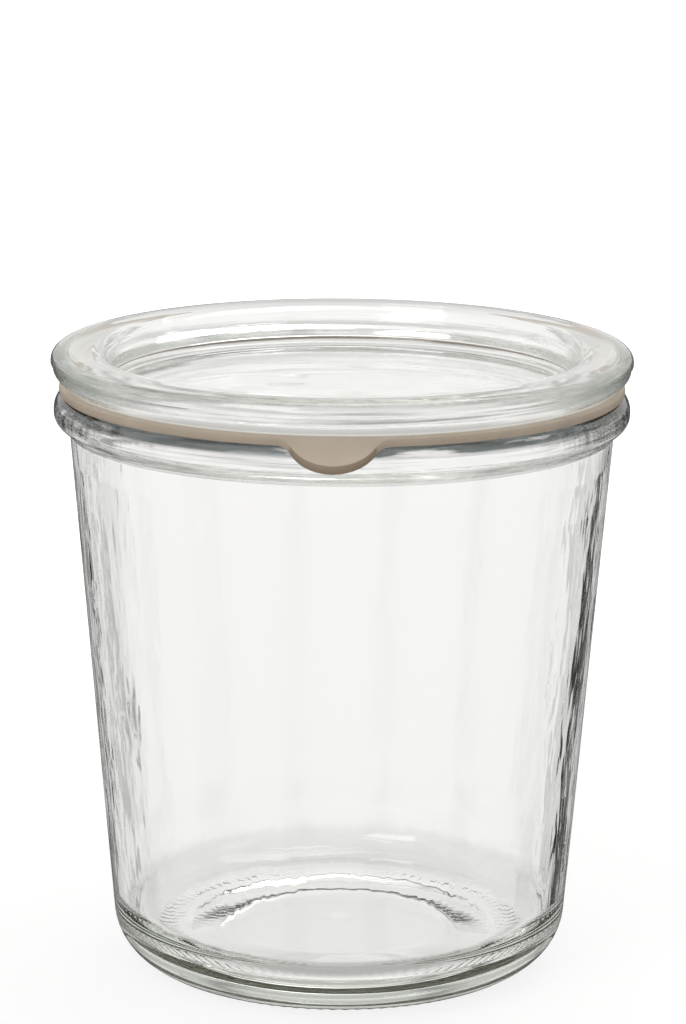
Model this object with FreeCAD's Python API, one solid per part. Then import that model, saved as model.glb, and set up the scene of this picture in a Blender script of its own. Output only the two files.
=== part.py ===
"""Glass preserving jar with its glass lid and its rubber sealing ring.

All sizes are in millimetres. The jar stands on z = 0 with its axis on Z, and
the pull tab of the sealing ring points towards -Y. Each body is turned from
one profile, whose corners carry their own rounding.
"""
import FreeCAD
import Part
import math
import os

# ---- driving dimensions: jar ------------------------------------------------
JAR_HEIGHT = 109.7          # bearing ring to sealing land
MOUTH_RADIUS = 47.2         # bore that the lid's plug enters
BASE_RADIUS = 42.05         # outside of the tapered wall, carried on to z = 0
WALL = 2.8                  # side wall, measured across the axis
BASE_THICKNESS = 7.0        # floor of the inside above the bearing ring
HEEL_ROUND = 10.5           # outside curve from the wall to the bearing ring
FLOOR_ROUND = 7.5           # inside curve from the wall to the floor
FLOOR_CROWN = 0.8           # rise of the floor at its centre
THROAT_DEPTH = 13.0         # straight bore below the sealing land
THROAT_BLEND = 7.0          # height in which the bore runs into the tapered wall
THROAT_ROUND = 12.0
MOUTH_EDGE_ROUND = 1.2      # rounding of the bore's upper edge

# collar that lid and ring are clamped against
LAND_WIDTH = 3.0            # from the bore to the start of the collar's rounding
COLLAR_TOP_ROUND = 3.3
COLLAR_OVERHANG = 2.9       # beyond the wall below it
COLLAR_HEIGHT = 7.3         # from its lower edge up to the sealing land
COLLAR_UNDERSIDE_RISE = 2.1 # slope of the underside, out from the wall
COLLAR_UNDER_ROUND = 2.4
COLLAR_ROOT_ROUND = 1.4

# underside: bearing ring, push-up, and a shallow disc at the centre
BEARING_WIDTH = 3.2
BEARING_EDGE_ROUND = 1.0
PUSH_UP = 1.5
PUSH_UP_RUN = 3.4
PUSH_UP_ROUND = 2.5
DISC_RADIUS = 16.0
DISC_RISE = 0.6
DISC_EDGE_RUN = 1.0
DISC_EDGE_ROUND = 1.0

# short grooves across the outer part of the bearing ring
KNURL_COUNT = 100
KNURL_DEPTH = 0.5
KNURL_WIDTH = 0.9           # across a groove, at the standing face
KNURL_SETBACK = 1.8         # plain strip of the bearing ring inside them

# ---- driving dimensions: sealing ring ---------------------------------------
RING_THICKNESS = 1.5        # pressed between rim and lid
RING_OVERHANG = 2.3         # beyond the sealing land
RING_OVER_PLUG = 1.2        # play between the ring's bore and the lid's plug
RING_DROOP_DEG = 11.0       # its free edge hangs over the rim
RING_RIM_PLAY = 0.3         # how far the bend lies outside the rim's rounding
RING_BEND_ROUND = 3.0
TAB_LENGTH = 5.9            # beyond the ring's edge, seen from above
TAB_RADIUS = 8.3            # of its round tip
TAB_ROOT_ROUND = 5.0
TAB_DROOP_DEG = 32.5

# ---- driving dimensions: lid ------------------------------------------------
LID_OVERHANG = 0.5          # beyond the jar's collar, at the mould seam
LID_HEIGHT = 6.55           # sealing underside to the crown of the land
LID_SEAM_HEIGHT = 3.9       # seam above the sealing underside
LID_SEAM_RIDGE = 0.35       # how far the seam stands out of the lower band
LID_SEAM_BEVEL = 0.5        # height of the ridge's lower flank
LID_TOP_ROUND = 2.0
LID_CROWN_SETBACK = 4.2     # the domed land is highest this far inside the edge
LID_CROWN_ROUND = 8.0
LID_SHOULDER_FALL = 0.63    # from the crown out to the edge
LID_LAND_FALL = 0.74        # from the crown in to the recess
LID_SIDE_DRAFT = 0.15       # lower band narrows by this much downwards
LID_FLANK_WIDTH = 2.2       # sloping flank below the lower band
LID_FLANK_HEIGHT = 2.0
LID_FLANK_TOP_ROUND = 2.2
LID_FLANK_FOOT_ROUND = 4.0
LID_LAND_ROUND = 3.0        # soft inner edge of the land
RECESS_DEPTH = 7.45
RECESS_DRAFT = 0.9
RECESS_ROUND = 1.6
PANEL_THICKNESS = 4.4       # glass under the recess
PANEL_CROWN = 0.5
PLUG_PLAY = 1.5             # between the plug and the jar's mouth
PLUG_WALL = 2.8             # glass between the recess and the plug's outside
PLUG_DRAFT = 0.8
PLUG_EDGE_ROUND = 2.2
PLUG_ROOT_ROUND = 0.8

# ---- heights and radii that follow ------------------------------------------
RIM_CROWN_RADIUS = MOUTH_RADIUS + LAND_WIDTH
COLLAR_RADIUS = RIM_CROWN_RADIUS + COLLAR_TOP_ROUND
COLLAR_BOTTOM = JAR_HEIGHT - COLLAR_HEIGHT
TAPER = (COLLAR_RADIUS - COLLAR_OVERHANG - BASE_RADIUS) / COLLAR_BOTTOM
PLUG_RADIUS = MOUTH_RADIUS - PLUG_PLAY
RING_BORE = PLUG_RADIUS + RING_OVER_PLUG
RING_RADIUS = RIM_CROWN_RADIUS + RING_OVERHANG
LID_UNDERSIDE = JAR_HEIGHT + RING_THICKNESS
LID_TOP = LID_UNDERSIDE + LID_HEIGHT
LID_RADIUS = COLLAR_RADIUS + LID_OVERHANG

ORIGIN = FreeCAD.Vector(0, 0, 0)
AXIS = FreeCAD.Vector(0, 0, 1)


def rounded_outline(corners):
    """Closed wire through (point, rounding) pairs, with tangent arcs."""
    joints = []
    for index, (corner, rounding) in enumerate(corners):
        if rounding == 0:
            joints.append((corner, corner, corner))
            continue
        before = corners[index - 1][0] - corner
        after = corners[(index + 1) % len(corners)][0] - corner
        half_angle = before.getAngle(after) / 2
        before.normalize()
        after.normalize()
        inward = before + after
        inward.normalize()
        reach = rounding / math.tan(half_angle)
        crest = corner + inward * (rounding / math.sin(half_angle) - rounding)
        joints.append((corner + before * reach, crest, corner + after * reach))
    edges = []
    for index, (start, crest, end) in enumerate(joints):
        if crest != start:
            edges.append(Part.Arc(start, crest, end).toShape())
        following = joints[(index + 1) % len(joints)][0]
        if end.distanceToPoint(following) > 1e-6:
            edges.append(Part.LineSegment(end, following).toShape())
    return Part.Wire(edges)


def turned(corners):
    """Solid of revolution from (radius, height, rounding) corners."""
    outline = [(FreeCAD.Vector(radius, 0, height), rounding)
               for radius, height, rounding in corners]
    return Part.Face(rounded_outline(outline)).revolve(ORIGIN, AXIS, 360)


def wall_radius(height):
    """Outside radius of the tapered wall at a height."""
    return BASE_RADIUS + TAPER * height


def jar():
    """Tapered body with a heavy base, a beaded collar and a flat rim."""
    bearing_outer = BASE_RADIUS - HEEL_ROUND * (math.hypot(1, TAPER) - TAPER)
    bearing_inner = bearing_outer - BEARING_WIDTH
    throat_foot = JAR_HEIGHT - THROAT_DEPTH
    wall_top = throat_foot - THROAT_BLEND
    underside = [
        (0, PUSH_UP + DISC_RISE, 0),
        (DISC_RADIUS - DISC_EDGE_RUN, PUSH_UP + DISC_RISE, DISC_EDGE_ROUND),
        (DISC_RADIUS, PUSH_UP, DISC_EDGE_ROUND),
        (bearing_inner - PUSH_UP_RUN, PUSH_UP, PUSH_UP_ROUND),
        (bearing_inner, 0, BEARING_EDGE_ROUND),
    ]
    outside = [
        (wall_radius(0), 0, HEEL_ROUND),
        (wall_radius(COLLAR_BOTTOM), COLLAR_BOTTOM, COLLAR_ROOT_ROUND),
        (COLLAR_RADIUS, COLLAR_BOTTOM + COLLAR_UNDERSIDE_RISE, COLLAR_UNDER_ROUND),
        (COLLAR_RADIUS, JAR_HEIGHT, COLLAR_TOP_ROUND),
    ]
    inside = [
        (MOUTH_RADIUS, JAR_HEIGHT, MOUTH_EDGE_ROUND),
        (MOUTH_RADIUS, throat_foot, THROAT_ROUND),
        (wall_radius(wall_top) - WALL, wall_top, THROAT_ROUND),
        (wall_radius(BASE_THICKNESS) - WALL, BASE_THICKNESS, FLOOR_ROUND),
        (0, BASE_THICKNESS + FLOOR_CROWN, 0),
    ]
    body = turned(underside + outside + inside)
    return body.cut(knurl_grooves(bearing_inner + KNURL_SETBACK, BASE_RADIUS))


def knurl_grooves(inner, outer):
    """Radial V grooves that run out where the heel has risen above them."""
    flank = [
        FreeCAD.Vector(inner, 0, KNURL_DEPTH),
        FreeCAD.Vector(inner, KNURL_WIDTH, -KNURL_DEPTH),
        FreeCAD.Vector(inner, -KNURL_WIDTH, -KNURL_DEPTH),
    ]
    section = Part.Face(Part.makePolygon(flank + flank[:1]))
    groove = section.extrude(FreeCAD.Vector(outer - inner, 0, 0))
    grooves = []
    for index in range(KNURL_COUNT):
        copy = groove.copy()
        copy.rotate(ORIGIN, AXIS, 360 * index / KNURL_COUNT)
        grooves.append(copy)
    return Part.makeCompound(grooves)


def mirrored(point):
    """The point on the other side of the plane X = 0."""
    return FreeCAD.Vector(-point.x, point.y, point.z)


def ring_plan(depth):
    """Prism of the ring's outer plan: its circle, and the round pull tab that
    a hollow arc joins to it on each side."""
    tab_centre = FreeCAD.Vector(0, TAB_RADIUS - RING_RADIUS - TAB_LENGTH, 0)
    span = tab_centre.Length
    from_axis = RING_RADIUS + TAB_ROOT_ROUND
    from_tab = TAB_RADIUS + TAB_ROOT_ROUND
    along = (from_axis ** 2 - from_tab ** 2 + span ** 2) / (2 * span)
    root_centre = FreeCAD.Vector(math.sqrt(from_axis ** 2 - along ** 2), -along, 0)
    ring_end = root_centre * (RING_RADIUS / from_axis)
    tab_end = tab_centre + (root_centre - tab_centre) * (TAB_RADIUS / from_tab)
    inward = (ring_end + tab_end) / 2 - root_centre
    hollow = root_centre + inward.normalize() * TAB_ROOT_ROUND
    back = FreeCAD.Vector(0, RING_RADIUS, 0)
    tip = FreeCAD.Vector(0, -RING_RADIUS - TAB_LENGTH, 0)
    arcs = [
        Part.Arc(ring_end, back, mirrored(ring_end)),
        Part.Arc(mirrored(ring_end), mirrored(hollow), mirrored(tab_end)),
        Part.Arc(mirrored(tab_end), tip, tab_end),
        Part.Arc(tab_end, hollow, ring_end),
    ]
    outline = Part.Wire([arc.toShape() for arc in arcs])
    return Part.Face(outline).extrude(AXIS * depth)


def seal_ring():
    """Flat rubber ring whose free edge and pull tab hang over the rim."""
    droop = math.tan(math.radians(RING_DROOP_DEG))
    tab_droop = math.tan(math.radians(TAB_DROOP_DEG))
    clearing = COLLAR_TOP_ROUND * math.tan(math.radians(RING_DROOP_DEG / 2))
    bend = RIM_CROWN_RADIUS + clearing + RING_RIM_PLAY
    edge_drop = (RING_RADIUS - bend) * droop
    reach = 2 * TAB_LENGTH
    tip_drop = edge_drop + reach * tab_droop
    skirt = turned([
        (RING_BORE, JAR_HEIGHT, 0),
        (bend, JAR_HEIGHT, RING_BEND_ROUND),
        (RING_RADIUS, JAR_HEIGHT - edge_drop, 0),
        (RING_RADIUS + reach, JAR_HEIGHT - tip_drop, 0),
        (RING_RADIUS + reach, LID_UNDERSIDE - tip_drop, 0),
        (RING_RADIUS, LID_UNDERSIDE - edge_drop, RING_BEND_ROUND),
        (bend, LID_UNDERSIDE, RING_BEND_ROUND),
        (RING_BORE, LID_UNDERSIDE, 0),
    ])
    return skirt.common(ring_plan(LID_TOP))


def lid():
    """Pressed lid: domed land round a recess, moulded edge, and a plug below."""
    band_radius = LID_RADIUS - LID_SEAM_RIDGE
    band_foot = band_radius - LID_SIDE_DRAFT
    seam = LID_UNDERSIDE + LID_SEAM_HEIGHT
    recess_foot = PLUG_RADIUS - PLUG_WALL
    recess_floor = LID_TOP - RECESS_DEPTH
    plug_bottom = recess_floor - PANEL_THICKNESS
    below = [
        (0, plug_bottom, 0),
        (PLUG_RADIUS - PLUG_DRAFT, plug_bottom, PLUG_EDGE_ROUND),
        (PLUG_RADIUS, LID_UNDERSIDE, PLUG_ROOT_ROUND),
    ]
    edge = [
        (band_foot - LID_FLANK_WIDTH, LID_UNDERSIDE, LID_FLANK_FOOT_ROUND),
        (band_foot, LID_UNDERSIDE + LID_FLANK_HEIGHT, LID_FLANK_TOP_ROUND),
        (band_radius, seam - LID_SEAM_BEVEL, 0),
        (LID_RADIUS, seam, 0),
        (LID_RADIUS, LID_TOP - LID_SHOULDER_FALL, LID_TOP_ROUND),
    ]
    above = [
        (LID_RADIUS - LID_CROWN_SETBACK, LID_TOP, LID_CROWN_ROUND),
        (recess_foot + RECESS_DRAFT, LID_TOP - LID_LAND_FALL, LID_LAND_ROUND),
        (recess_foot, recess_floor, RECESS_ROUND),
        (0, recess_floor + PANEL_CROWN, 0),
    ]
    return turned(below + edge + above)


def main():
    os.makedirs("parts", exist_ok=True)
    pieces = {"jar": jar(), "seal_ring": seal_ring(), "lid": lid()}
    for name, shape in pieces.items():
        shape.exportStep(f"parts/{name}.step")
        box = shape.BoundBox
        print(f"{name}: {len(shape.Solids)} solid, {shape.Volume / 1000:.1f} cm3, "
              f"valid {shape.isValid()}, z {box.ZMin:.2f} to {box.ZMax:.2f}")


main()
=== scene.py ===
"""Glass preserving jar with its lid and rubber ring, dressed for a bright studio.

Lengths of the pieces are in millimetres and multiplied by MM; materials, floor,
lights and camera are in metres. The profiles repeat the CAD part's own corners,
so each piece lies where its solid does.
"""

import math

import bpy
import numpy as np
from mathutils import Matrix, Vector


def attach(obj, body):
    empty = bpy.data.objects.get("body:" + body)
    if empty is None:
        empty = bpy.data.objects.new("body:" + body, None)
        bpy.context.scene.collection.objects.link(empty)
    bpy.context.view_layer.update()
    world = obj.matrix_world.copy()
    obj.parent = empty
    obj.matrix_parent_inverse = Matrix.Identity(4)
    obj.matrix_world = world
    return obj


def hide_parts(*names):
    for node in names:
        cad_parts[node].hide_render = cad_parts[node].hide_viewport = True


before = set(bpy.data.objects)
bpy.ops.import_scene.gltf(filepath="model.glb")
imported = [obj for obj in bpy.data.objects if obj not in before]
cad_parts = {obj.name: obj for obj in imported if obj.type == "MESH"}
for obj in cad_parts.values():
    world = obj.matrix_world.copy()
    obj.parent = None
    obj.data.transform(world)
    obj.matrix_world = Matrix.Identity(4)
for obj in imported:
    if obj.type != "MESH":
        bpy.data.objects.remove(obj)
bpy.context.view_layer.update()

MM = 0.001
scene = bpy.context.scene

# ---- sizes shared with the solids (mm) --------------------------------------
JAR_HEIGHT = 109.7
MOUTH_RADIUS = 47.2
BASE_RADIUS = 42.05
WALL = 2.8
COLLAR_RADIUS = 53.5
COLLAR_BOTTOM = 102.4
COLLAR_TOP_ROUND = 3.3
TAPER = (COLLAR_RADIUS - 2.9 - BASE_RADIUS) / COLLAR_BOTTOM
HEEL_ROUND = 10.5
BEARING_OUTER = BASE_RADIUS - HEEL_ROUND * (math.hypot(1, TAPER) - TAPER)
BEARING_INNER = BEARING_OUTER - 3.2
KNURLS = 100
KNURL_START = 31.0          # radius at which the grooves begin
LID_UNDERSIDE = 111.2
LID_TOP = 117.75
LID_RADIUS = 54.0
SEAM = LID_UNDERSIDE + 3.9
PLUG_RADIUS = 45.7
PLUG_BOTTOM = 105.9
RECESS_FOOT = 42.9
RECESS_FLOOR = 110.3
RING_BORE = 46.9
RING_RADIUS = 52.5
RING_THICKNESS = 1.5
RING_DROOP_DEG = 11
TAB_DROOP_DEG = 32.5
TAB_LENGTH = 5.9
TAB_RADIUS = 8.3
TAB_ROOT_ROUND = 5.0

# ---- detail that only the visual model has (mm) -------------------------------
INNER_WAVE, INNER_FINE_WAVE, OUTER_WAVE = 0.045, 0.01, 0.02
JAR_FLOOR_WAVE, LID_FLOOR_WAVE = 0.06, 0.05
KNURL_HALF_RELIEF = 0.08
RING_CLEARANCE = 0.04       # of its upper face under the lid
JAR_STEPS, LID_STEPS = 5 * KNURLS, 480
TAB_STEPS, RING_STEPS = 141, 561


def wall_radius(height):
    return BASE_RADIUS + TAPER * height


# ---- profiles and turned meshes ---------------------------------------------
def rounded(corners, chord=7.0, run=3.0):
    """(radius, height) points along corners whose third number is a rounding.
    Arcs get a point every `chord` degrees and long runs one every `run` mm,
    with one close to each arc's end so that the shading stays flat there."""
    pieces = []
    for k, (r, z, rounding) in enumerate(corners):
        here = Vector((r, z))
        if not rounding:
            pieces.append([here])
            continue
        before = (Vector(corners[k - 1][:2]) - here).normalized()
        after = (Vector(corners[(k + 1) % len(corners)][:2]) - here).normalized()
        half = before.angle(after) / 2
        reach = rounding / math.tan(half)
        centre = here + (before + after).normalized() * (rounding / math.sin(half))
        first, last = here + before * reach - centre, here + after * reach - centre
        turn = first.angle_signed(last)
        count = max(3, round(abs(math.degrees(turn)) / chord))
        start = math.atan2(first.y, first.x)
        pieces.append([centre + Vector((math.cos(a), math.sin(a))) * rounding
                       for a in (start - turn * i / count for i in range(count + 1))])
    points = []
    for k, piece in enumerate(pieces):
        points += piece
        if k + 1 == len(pieces):
            break
        a, b = piece[-1], pieces[k + 1][0]
        gap = (b - a).length
        if gap < 0.05:
            continue
        near = min(0.35, gap / 4)
        middle = gap - 2 * near
        count = max(1, math.ceil(middle / run))
        points += [a.lerp(b, (near + middle * i / count) / gap) for i in range(count + 1)]
    return np.array([tuple(p) for p in points])


def turned(name, profile, angle, form=None, closed=False):
    """Mesh turned about Z. An open profile runs from axis to axis; form(radius,
    height, angle) may move the points, as arrays of rows by angles."""
    steps = len(angle)
    poles = [] if closed else [0, len(profile) - 1]
    rows = [k for k in range(len(profile)) if k not in poles]
    radius, theta = np.meshgrid(profile[rows, 0], angle, indexing="ij")
    height = np.repeat(profile[rows, 1][:, None], steps, axis=1)
    if form:
        radius, height = form(radius, height, theta)
    ring = np.stack([radius * np.sin(theta), -radius * np.cos(theta), height], -1)
    points = ring.reshape(-1, 3)
    nxt = (np.arange(steps) + 1) % steps
    loops = list(range(len(rows))) + ([0] if closed else [])
    faces = []
    for a, b in zip(loops[:-1], loops[1:]):
        low, high = a * steps, b * steps
        faces.append(np.stack([low + np.arange(steps), low + nxt, high + nxt,
                               high + np.arange(steps)], -1))
    faces = np.concatenate(faces).tolist()
    if not closed:
        bottom, top = len(points), len(points) + 1
        points = np.vstack([points, [[0, 0, profile[0, 1]], [0, 0, profile[-1, 1]]]])
        last = (len(rows) - 1) * steps
        faces += [(bottom, n, k) for k, n in enumerate(nxt.tolist())]
        faces += [(top, last + k, last + n) for k, n in enumerate(nxt.tolist())]
    mesh = bpy.data.meshes.new(name)
    mesh.from_pydata((points * MM).tolist(), [], faces)
    mesh.validate()
    mesh.shade_smooth()
    piece = bpy.data.objects.new(name, mesh)
    scene.collection.objects.link(piece)
    return piece


def full_turn(steps):
    """Angles of an even division of the circle."""
    return np.linspace(0, 2 * np.pi, steps, endpoint=False)


def ripple(seed, around, upward, count=9):
    """Smooth unevenness of moulded glass, about -1 to 1, as a function of
    (angle, height): a few waves round the axis and along it."""
    rng = np.random.default_rng(seed)
    waves = [(rng.integers(*around), rng.uniform(*upward) * rng.choice([-1, 1]),
              rng.uniform(0, 2 * np.pi), rng.uniform(0.5, 1)) for _ in range(count)]
    total = sum(w[3] for w in waves) / 1.8

    def value(theta, height):
        return sum(a * np.cos(k * theta + 2 * np.pi * height / length + phase)
                   for k, length, phase, a in waves) / total
    return value


def ease(value, low, high):
    """Smooth step from 0 at low to 1 at high."""
    t = np.clip((value - low) / (high - low), 0, 1)
    return t * t * (3 - 2 * t)


# ---- jar --------------------------------------------------------------------
jar_corners = [
    (0, 2.1, 0), (BEARING_INNER - 9, 1.7, 20), (BEARING_INNER, 0, 8),
    (wall_radius(0), 0, HEEL_ROUND),
    (wall_radius(COLLAR_BOTTOM), COLLAR_BOTTOM, 1.4),
    (COLLAR_RADIUS, COLLAR_BOTTOM + 2.1, 2.4), (COLLAR_RADIUS, JAR_HEIGHT, COLLAR_TOP_ROUND),
    (MOUTH_RADIUS, JAR_HEIGHT, 1.2), (MOUTH_RADIUS, 96.7, 12),
    (wall_radius(89.7) - WALL, 89.7, 12), (wall_radius(7) - WALL, 7, 7.5), (0, 7.8, 0),
]
inner_wave = ripple(11, (2, 9), (28, 90))
inner_fine = ripple(12, (8, 22), (14, 40))
outer_wave = ripple(13, (2, 7), (40, 120))


def jar_form(radius, height, theta):
    """Uneven glass on body and floor, and grooves across the bearing ring."""
    inside = (radius < wall_radius(height) - WALL / 2) & (height > 6)
    outside = ~inside & (height > 14) & (height < 98)
    in_body = ease(height, 8, 22) * (1 - ease(height, 86, 98))
    inner = INNER_WAVE * inner_wave(theta, height) + INNER_FINE_WAVE * inner_fine(theta, height)
    outer = OUTER_WAVE * outer_wave(theta, height)
    floor = JAR_FLOOR_WAVE * inner_wave(theta, radius) * ease(radius, 3, 30)
    on_floor = inside & (height < 16)
    grip = ease(radius, KNURL_START, KNURL_START + 0.5) * (1 - ease(height, 0.6, 1.1))
    grip = grip * ((radius > KNURL_START - 0.1) & (height < 2))
    radius_new = radius + np.where(inside, inner * in_body, 0)
    radius_new = radius_new + np.where(outside, outer * in_body, 0)
    height_new = height + np.where(on_floor, floor * (1 - ease(height, 9, 16)), 0)
    height_new = height_new + KNURL_HALF_RELIEF * (1 - np.cos(KNURLS * theta)) * grip
    return radius_new, height_new


jar = turned("jar_glass", rounded(jar_corners), full_turn(JAR_STEPS), jar_form)

# ---- lid --------------------------------------------------------------------
lid_corners = [
    (0, PLUG_BOTTOM, 0), (PLUG_RADIUS - 0.8, PLUG_BOTTOM, 2.2),
    (PLUG_RADIUS, LID_UNDERSIDE, 0.8),
    (LID_RADIUS - 2.7, LID_UNDERSIDE, 4), (LID_RADIUS - 0.5, LID_UNDERSIDE + 2, 2.2),
    (LID_RADIUS - 0.35, SEAM - 0.5, 0.12), (LID_RADIUS, SEAM, 0.15),
    (LID_RADIUS, LID_TOP - 0.63, 2), (LID_RADIUS - 4.2, LID_TOP, 8),
    (RECESS_FOOT + 0.9, LID_TOP - 0.74, 3),
    (RECESS_FOOT, RECESS_FLOOR, 1.6), (0, RECESS_FLOOR + 0.5, 0),
]
lid_wave = ripple(21, (2, 7), (30, 80))


def lid_form(radius, height, theta):
    """Uneven glass on the floor of the lid's recess."""
    inside = (height > RECESS_FLOOR - 0.5) & (height < LID_TOP - 1) & (radius < RECESS_FOOT + 0.5)
    lift = LID_FLOOR_WAVE * lid_wave(theta, radius) * ease(radius, 0, 10)
    lift = lift * (1 - ease(radius, 36, 41))
    return radius, height + np.where(inside, lift, 0)


lid = turned("lid_glass", rounded(lid_corners), full_turn(LID_STEPS), lid_form)

# ---- sealing ring -----------------------------------------------------------
DROOP = math.tan(math.radians(RING_DROOP_DEG))
TAB_DROOP = math.tan(math.radians(TAB_DROOP_DEG))
BEND = (COLLAR_RADIUS - COLLAR_TOP_ROUND
        + COLLAR_TOP_ROUND * math.tan(math.radians(RING_DROOP_DEG / 2)) + 0.3)
TAB_CENTRE = RING_RADIUS + TAB_LENGTH - TAB_RADIUS
ROOT_CENTRE = RING_RADIUS + TAB_ROOT_ROUND
# angles from -Y at which the root's hollow arc meets the ring and the tab
root_turn = math.acos((ROOT_CENTRE ** 2 + TAB_CENTRE ** 2 - (TAB_RADIUS + TAB_ROOT_ROUND) ** 2)
                      / (2 * ROOT_CENTRE * TAB_CENTRE))
lean = math.atan2(ROOT_CENTRE * math.sin(root_turn),
                  ROOT_CENTRE * math.cos(root_turn) - TAB_CENTRE)
tab_turn = math.atan2(TAB_RADIUS * math.sin(lean), TAB_CENTRE + TAB_RADIUS * math.cos(lean))


def ring_edge(theta):
    """Outer radius of the ring at an angle from -Y: a circle with the pull tab."""
    turn = np.abs((theta + np.pi) % (2 * np.pi) - np.pi)
    tab = TAB_CENTRE * np.cos(turn) + np.sqrt(
        np.maximum(TAB_RADIUS ** 2 - (TAB_CENTRE * np.sin(turn)) ** 2, 0))
    off = turn - root_turn
    root = ROOT_CENTRE * np.cos(off) - np.sqrt(
        np.maximum(TAB_ROOT_ROUND ** 2 - (ROOT_CENTRE * np.sin(off)) ** 2, 0))
    return np.where(turn < tab_turn, tab, np.where(turn < root_turn, root, RING_RADIUS))


def ring_form(share, level, theta):
    """share 0-1 runs from bore to edge, level -1..1 from under to upper face."""
    radius = RING_BORE + share * (ring_edge(theta) - RING_BORE)
    beyond = np.maximum(radius - RING_RADIUS, 0)
    drop = ease(radius, BEND - 0.6, BEND + 1.2) * np.maximum(radius - BEND, 0) * DROOP
    drop = drop + beyond * (TAB_DROOP - DROOP)
    height = JAR_HEIGHT + RING_THICKNESS / 2 - drop + level * RING_THICKNESS / 2
    return radius, height - RING_CLEARANCE * (level > 0.99)


def ring_section():
    """Closed section in (share, level): flat faces and rounded edges."""
    edge = 0.05
    faces = [(s, 1.0) for s in np.linspace(1 - edge, 0.02, 26)]
    under = [(s, -1.0) for s in np.linspace(0.02, 1 - edge, 26)]
    nose = [(1 - edge + edge * math.cos(a), math.sin(a))
            for a in np.radians(np.linspace(-75, 75, 11))]
    return np.array(faces + [(0, 0.7), (0, -0.7)] + under + nose)


near_tab = np.linspace(-1.02 * root_turn, 1.02 * root_turn, TAB_STEPS)
around_ring = np.linspace(near_tab[-1], 2 * np.pi + near_tab[0], RING_STEPS)[1:-1]
ring = turned("seal_rubber_ring", ring_section(), np.concatenate([near_tab, around_ring]),
              ring_form, closed=True)
for piece, node, slot in ((jar, "jar", "jar_glass"), (lid, "lid", "lid_glass"),
                          (ring, "seal_ring", "seal_rubber")):
    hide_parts(node)
    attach(piece, "root")


# ---- node helpers -----------------------------------------------------------
class Nodes:
    """Short way to add and link shader nodes."""

    def __init__(self, tree):
        self.tree = tree
        tree.nodes.clear()

    def add(self, kind, props=None, **inputs):
        node = self.tree.nodes.new("ShaderNode" + kind)
        for key, value in (props or {}).items():
            setattr(node, key, value)
        for key, value in inputs.items():
            numbered = key[0] == "_" and key[1:].isdigit()
            self.put(node.inputs[int(key[1:]) if numbered else key.replace("_", " ")], value)
        return node

    def put(self, socket, value):
        if isinstance(value, bpy.types.NodeSocket):
            self.tree.links.new(value, socket)
        else:
            socket.default_value = value

    def math(self, operation, *values, clamp=False):
        node = self.add("Math", {"operation": operation, "use_clamp": clamp})
        for k, value in enumerate(values):
            self.put(node.inputs[k], value)
        return node.outputs[0]

    def above(self, value, start, width):
        """0 below start, 1 beyond start + width."""
        return self.math("DIVIDE", self.math("SUBTRACT", value, start), width, clamp=True)

    def unless(self, value):
        return self.math("SUBTRACT", 1.0, value)

    def mix(self, kind, factor, a, b):
        """a and b mixed, for kind FLOAT or RGBA."""
        node = self.add("Mix", {"data_type": kind}, Factor=factor, A=a, B=b)
        return node.outputs["Result"]

    def from_axis(self, xyz):
        """Distance of a place from the jar's axis."""
        flat = self.add("CombineXYZ", X=xyz["X"], Y=xyz["Y"]).outputs[0]
        return self.add("VectorMath", {"operation": "LENGTH"}, _0=flat).outputs["Value"]

    def stretched(self, place, across, upward, detail):
        """Noise about 0.5 with its own scale across and up the jar, per metre."""
        moved = self.add("Mapping", Vector=place, Scale=(across, across, upward))
        noise = self.add("TexNoise", Vector=moved.outputs[0], Scale=1.0, Detail=detail)
        return noise.outputs["Fac"]

    def ramp(self, value, stops):
        """Colours or greys at (position, colour) stops, straight in between."""
        ramp_node = self.add("ValToRGB", Fac=value)
        ramp = ramp_node.color_ramp
        while len(ramp.elements) > 1:
            ramp.elements.remove(ramp.elements[-1])
        ramp.elements[0].position = stops[0][0]
        for position, _ in stops[1:]:
            ramp.elements.new(position)
        for element, (_, colour) in zip(ramp.elements, stops):
            if not isinstance(colour, tuple):
                colour = (colour,) * 3
            element.color = (*colour, 1)
        return ramp_node.outputs["Color"]


def material(name):
    """New material, its nodes and its output node."""
    mat = bpy.data.materials.new(name)
    mat.use_nodes = True
    nodes = Nodes(mat.node_tree)
    return mat, nodes, nodes.add("OutputMaterial")


# ---- glass ------------------------------------------------------------------
GLASS_COLOUR = (0.82, 0.85, 0.80, 1)        # of light that its thickness lets through
SHEET_COLOUR = (0.86, 0.87, 0.865, 1)       # the same for shadow and diffuse rays
# the clear base colour, and the dark of the painted reflection and painted shade
CLEAR, PAINTED_REFLECTION_DARK = (1.0, 1.0, 1.0), (0.045, 0.055, 0.055)
REFRACTION = 1.52
OUTER_FACES = 0.0495                        # their least distance from the axis


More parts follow.
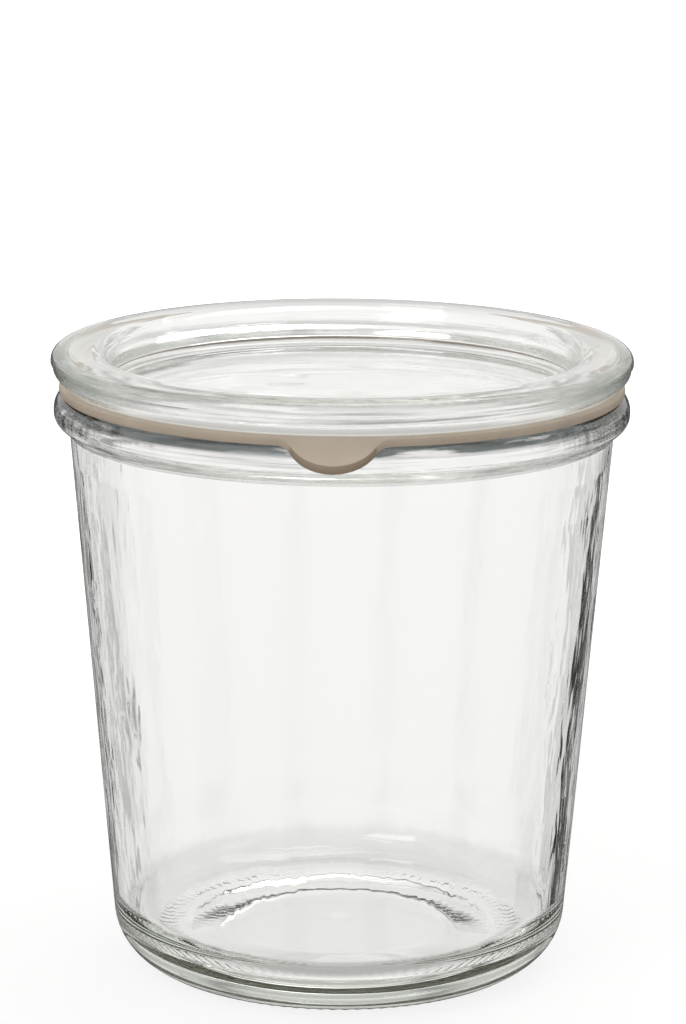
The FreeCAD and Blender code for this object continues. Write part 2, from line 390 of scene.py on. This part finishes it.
def glass(name, density, waves, depth, striped_from, painted_band=None):
    """Clear moulded glass. density is how strongly its thickness takes up light;
    waves (across, up) and depth are the scale and strength of its unevenness.
    Above striped_from the mould has left fine level lines on the outer upright
    faces, as bumps; there the base colour also gets dark streaks of painted
    reflection. The last argument gives the (height, radius) where a band of
    painted shade starts on the jar's rounded top under the rubber ring."""
    mat, n, out = material(name)
    coord = n.add("TexCoord")
    place = coord.outputs["Object"]
    xyz = n.add("SeparateXYZ", Vector=place).outputs
    normal = n.add("SeparateXYZ", Vector=coord.outputs["Normal"]).outputs
    upright = n.unless(n.above(n.math("ABSOLUTE", normal["Z"]), 0.30, 0.2))
    striped = n.above(xyz["Z"], striped_from, 0.002)
    reach = n.from_axis(xyz)
    outward = n.math("MULTIPLY", n.above(reach, OUTER_FACES, 0.001), striped)

    # painted reflection: dark streaks put into the base colour on the outer upright faces
    reflection_streaks = n.stretched(place, 28.0, 1400.0, 4.0)
    dark = n.math("MULTIPLY", n.above(reflection_streaks, 0.50, 0.20), 0.8)
    dark = n.math("MULTIPLY", n.math("MULTIPLY", dark, upright), outward)
    # painted shade: a dark band on the rounded top under the rubber ring, standing in for the
    # shaded gap beneath it
    if painted_band:
        strip = n.math("MULTIPLY", n.above(xyz["Z"], painted_band[0], 0.0007),
                       n.above(reach, painted_band[1], 0.0005))
        patch = n.above(n.stretched(place, 50.0, 600.0, 4.0), 0.33, 0.10)
        dark = n.math("MAXIMUM", dark, n.math("MULTIPLY", strip, patch))
    # base colour from clear to the dark of painted reflection and painted shade
    painted_tint = n.ramp(dark, [(0.0, CLEAR), (1.0, PAINTED_REFLECTION_DARK)])

    film = n.add("TexNoise", Vector=place, Scale=38.0, Detail=6.0, Roughness=0.62)
    smear = n.ramp(film.outputs["Fac"], [(0.0, 0.0), (0.55, 0.0), (0.8, 0.05)])
    lines = n.math("MULTIPLY", n.stretched(place, 25.0, 1500.0, 3.0), striped)
    drift = n.math("MULTIPLY", n.stretched(place, *waves, 3.0), n.above(xyz["Z"], 0.009, 0.014))
    relief = n.add("Bump", Height=drift, Strength=depth, Distance=0.0006)
    relief = n.add("Bump", Height=lines, Strength=0.5, Distance=0.0002, Normal=relief.outputs[0])

    clear = n.add("BsdfPrincipled", Base_Color=painted_tint, Roughness=smear, IOR=REFRACTION,
                  Transmission_Weight=1.0, Normal=relief.outputs[0])
    ray = n.add("LightPath").outputs
    soft = n.math("MAXIMUM", ray["Is Shadow Ray"], ray["Is Diffuse Ray"])
    through = n.add("BsdfTransparent", Color=SHEET_COLOUR)
    both = n.add("MixShader", Fac=soft, _1=clear.outputs[0], _2=through.outputs[0])
    n.put(out.inputs["Surface"], both.outputs[0])
    inside = n.add("VolumeAbsorption", Color=GLASS_COLOUR, Density=density)
    n.put(out.inputs["Volume"], inside.outputs[0])
    return mat


# the jar's glass also carries the band of painted shade under the rubber ring
jar.data.materials.append(glass("jar glass", 14.0, waves=(110.0, 32.0), depth=0.35,
                                striped_from=0.1025, painted_band=(0.1072, 0.0487)))
lid.data.materials.append(glass("lid glass", 12.0, waves=(40.0, 40.0), depth=0.07,
                                striped_from=0.1105))


# ---- rubber -----------------------------------------------------------------
RUBBER, PALER_RUBBER = (0.385, 0.315, 0.245), (0.475, 0.395, 0.315)
# painted shade for the tab's edge faces, and painted light for the upper face under the lid
EDGE_SHADE_COLOUR, PAINTED_LIGHT_COLOUR = (0.26, 0.20, 0.14, 1), (0.78, 0.76, 0.72, 1)
EDGE_SHADE_FROM, PAINTED_LIGHT_TO = 0.0538, 0.0505         # distances from the axis


def rubber():
    """Natural rubber: cloudy beige, with painted light that makes the upper face
    paler where the lid covers it, and painted shade on the tab's edge faces that
    turn sideways and down."""
    mat, n, out = material("natural rubber")
    coord = n.add("TexCoord")
    place = coord.outputs["Object"]
    xyz = n.add("SeparateXYZ", Vector=place).outputs
    normal = n.add("SeparateXYZ", Vector=coord.outputs["Normal"]).outputs
    reach = n.from_axis(xyz)
    flat = n.above(normal["Z"], 0.70, 0.1)

    cloud = n.add("TexNoise", Vector=place, Scale=90.0, Detail=5.0, Roughness=0.6)
    base = n.ramp(cloud.outputs["Fac"], [(0.3, RUBBER), (0.7, PALER_RUBBER)])
    # painted shade: darker on the tab's faces that do not face up
    edge_shade = n.math("MULTIPLY", n.above(reach, EDGE_SHADE_FROM, 0.0006), n.unless(flat))
    base = n.mix("RGBA", edge_shade, base, EDGE_SHADE_COLOUR)
    # painted light: the flat upper face under the lid made paler
    painted_light = n.math("MULTIPLY", flat, n.unless(n.above(reach, PAINTED_LIGHT_TO, 0.0008)))
    base = n.mix("RGBA", painted_light, base, PAINTED_LIGHT_COLOUR)

    grain = n.add("TexNoise", Vector=place, Scale=1500.0, Detail=3.0)
    rough = n.ramp(grain.outputs["Fac"], [(0.3, 0.42), (0.7, 0.6)])
    relief = n.add("Bump", Height=grain.outputs["Fac"], Strength=0.25, Distance=0.0001)
    body = n.add("BsdfPrincipled", Base_Color=base, Roughness=rough, Normal=relief.outputs[0])
    n.put(out.inputs["Surface"], body.outputs[0])
    return mat


ring.data.materials.append(rubber())

# ---- floor ------------------------------------------------------------------
FLOOR_RADIUS, FLOOR_SIDES, FLOOR_DROP = 4, 96, 0.00005
FLOOR_COLOUR, HIDDEN_FLOOR_COLOUR = (0.40, 0.40, 0.40, 1), (0.8, 0.8, 0.8, 1)
FLOOR_GLOW = [(0.0, 0.64), (0.12, 0.64), (0.30, 0.95)]      # by distance from the jar
floor_angles = [2 * math.pi * k / FLOOR_SIDES for k in range(FLOOR_SIDES)]
floor_mesh = bpy.data.meshes.new("floor")
floor_mesh.from_pydata([(FLOOR_RADIUS * math.cos(a), FLOOR_RADIUS * math.sin(a), 0)
                        for a in floor_angles], [], [tuple(range(FLOOR_SIDES))])
floor = bpy.data.objects.new("floor", floor_mesh)
scene.collection.objects.link(floor)
floor.location.z = -FLOOR_DROP
# The camera sees a white floor that keeps the object's shadow. Rays through glass
# or off it pass the floor and go on to the world below.
mat, n, out = material("studio floor")
ray = n.add("LightPath").outputs
lit = n.add("BsdfDiffuse", Color=FLOOR_COLOUR)
place = n.add("TexCoord").outputs["Object"]
apart = n.add("VectorMath", {"operation": "LENGTH"}, _0=place).outputs["Value"]
glow = n.add("Emission", Color=n.ramp(apart, FLOOR_GLOW), Strength=1.0)
seen = n.add("AddShader", _0=lit.outputs[0], _1=glow.outputs[0])
plain = n.add("BsdfDiffuse", Color=HIDDEN_FLOOR_COLOUR)
kind = n.add("MixShader", Fac=ray["Is Camera Ray"], _1=plain.outputs[0], _2=seen.outputs[0])
clear = n.math("MAXIMUM", ray["Is Glossy Ray"], ray["Is Transmission Ray"])
below = n.add("BsdfTransparent")
surface = n.add("MixShader", Fac=clear, _1=kind.outputs[0], _2=below.outputs[0])
n.put(out.inputs["Surface"], surface.outputs[0])
floor_mesh.materials.append(mat)

# ---- studio -----------------------------------------------------------------
# The camera sees white. Rays that left through glass find white with dark strips
# round the compass, which differ between three bands of height. Mirror rays find
# a pale sky over a dark ground, and all others an even grey.
BANDS_MEET = (-0.46, -0.13)         # heights of a ray's direction, from -1 to 1
GREY_FOR_OTHERS = 0.62
WARM_WHITE = (1.0, 0.992, 0.976)
EIGHTHS = [45 * k for k in range(8)]

world = bpy.data.worlds.new("studio")
scene.world = world
world.use_nodes = True
n = Nodes(world.node_tree)
out = n.add("OutputWorld")
way = n.add("TexCoord").outputs["Generated"]
xyz = n.add("SeparateXYZ", Vector=way).outputs
bearing = n.math("DIVIDE", n.math("ARCTAN2", xyz["X"], xyz["Y"]), 2 * math.pi)
bearing = n.math("FRACT", n.math("ADD", bearing, 1.0))


def strips(spans, soft):
    """Ramp stops round the compass for dark strips (from, to, grey), in degrees,
    each with an edge of soft degrees on both sides."""
    stops = []
    for start, end, grey in sorted(spans):
        stops += [(start - soft, 1.0), (start, grey)]
        stops += [(end, grey)] if end > start else []
        stops += [(end + soft, 1.0)]
    return [(at / 360, shade) for at, shade in stops]


def from_height(start):
    """0 below start, 1 from a twelfth above it."""
    return n.math("MULTIPLY", n.math("ADD", xyz["Z"], -start), 12.0, clamp=True)


black_streak = [(12, 1.0), (14, 0.64), (22, 0.58), (24, 0.0), (37, 0.0), (39, 1.0)]
soft_strips = [(66, 66, 0.2), (114, 114, 0.5), (158, 158, 0.85),
               (202, 202, 0.85), (246, 246, 0.5), (294, 294, 0.2)]
low = n.ramp(bearing, [(at / 360, shade) for at, shade in black_streak]
             + strips(soft_strips, 7) + strips([(335, 343, 0.33)], 2))
deep = n.ramp(bearing, strips([(19 + turn, 26 + turn, 0.45) for turn in EIGHTHS], 4))
upper = n.ramp(bearing, strips([(22.5 + turn, 22.5 + turn, 0.5) for turn in EIGHTHS], 7))
around = n.mix("FLOAT", from_height(BANDS_MEET[0]), deep, low)
around = n.mix("FLOAT", from_height(BANDS_MEET[1]), around, upper)

height = n.math("MULTIPLY", n.math("ADD", xyz["Z"], 1.0), 0.5)
depth = n.ramp(height, [(0.0, 0.45), (0.117, 0.5), (0.179, 0.72), (0.297, 0.93), (0.37, 0.97),
                        (0.50, 1.0), (0.55, 0.95), (0.60, 0.72), (0.64, 0.6), (0.74, 0.6),
                        (0.78, 0.85), (0.82, 1.0)])
high = n.ramp(xyz["Z"], [(0.0, 0.0), (0.60, 0.0), (0.75, 1.0)])
seen_through = n.math("MAXIMUM", n.math("MULTIPLY", around, depth), high)
mirrored = n.ramp(height, [(0.0, 0.4), (0.30, 0.12), (0.485, 0.15), (0.515, 0.95),
                           (0.70, 0.95), (0.80, 0.4), (1.0, 0.5)])

ray = n.add("LightPath").outputs
is_mirror = n.math("MULTIPLY", ray["Is Reflection Ray"], ray["Is Glossy Ray"])
level = n.mix("FLOAT", ray["Is Transmission Ray"], GREY_FOR_OTHERS, seen_through)
level = n.mix("FLOAT", is_mirror, level, mirrored)
red, green, blue = (n.math("MAXIMUM", n.math("MULTIPLY", level, share), ray["Is Camera Ray"])
                    for share in WARM_WHITE)
colour = n.add("CombineColor", Red=red, Green=green, Blue=blue)
back = n.add("Background", Color=colour.outputs[0], Strength=1.0)
n.put(out.inputs["Surface"], back.outputs[0])


LIGHTS_AIM = Vector((0, 0, 0.06))


def softbox(name, place, size, power):
    """Square light of the given side (m) and power (W), aimed at the jar."""
    lamp = bpy.data.lights.new(name, "AREA")
    lamp.shape = "RECTANGLE"
    lamp.size = lamp.size_y = size
    lamp.energy = power
    light = bpy.data.objects.new(name, lamp)
    scene.collection.objects.link(light)
    light.location = place
    light.rotation_euler = (LIGHTS_AIM - Vector(place)).to_track_quat("-Z", "Y").to_euler()


softbox("key", (-0.5, -0.7, 0.9), size=0.5, power=3)
softbox("top", (0.2, 0.3, 1.1), size=0.7, power=4)

# ---- camera -----------------------------------------------------------------
BEARING, ELEVATION, DISTANCE = math.radians(1.6), math.radians(15.225), 0.745
TARGET = Vector((0, 0, 0.056))
AIM_UP, AIM_SIDE, ROLL = (math.radians(a) for a in (2.246, -0.024, 0.346))
camera_data = bpy.data.cameras.new("camera")
camera = bpy.data.objects.new("camera", camera_data)
scene.collection.objects.link(camera)
scene.camera = camera
camera_data.sensor_fit = "VERTICAL"
camera_data.sensor_height = 36
camera_data.lens = 138.57
camera_data.clip_start, camera_data.clip_end = 0.05, 20
away = Vector((math.sin(BEARING) * math.cos(ELEVATION), -math.cos(BEARING) * math.cos(ELEVATION),
               math.sin(ELEVATION)))
look = (-away).to_track_quat("-Z", "Y").to_matrix().to_4x4()
camera.matrix_world = (Matrix.Translation(TARGET + away * DISTANCE) @ look
                       @ Matrix.Rotation(AIM_UP, 4, "X") @ Matrix.Rotation(AIM_SIDE, 4, "Y")
                       @ Matrix.Rotation(ROLL, 4, "Z"))

scene.view_settings.view_transform = "Standard"
scene.cycles.max_bounces = 32
scene.cycles.glossy_bounces = 24
scene.cycles.transmission_bounces = 32
scene.cycles.transparent_max_bounces = 32
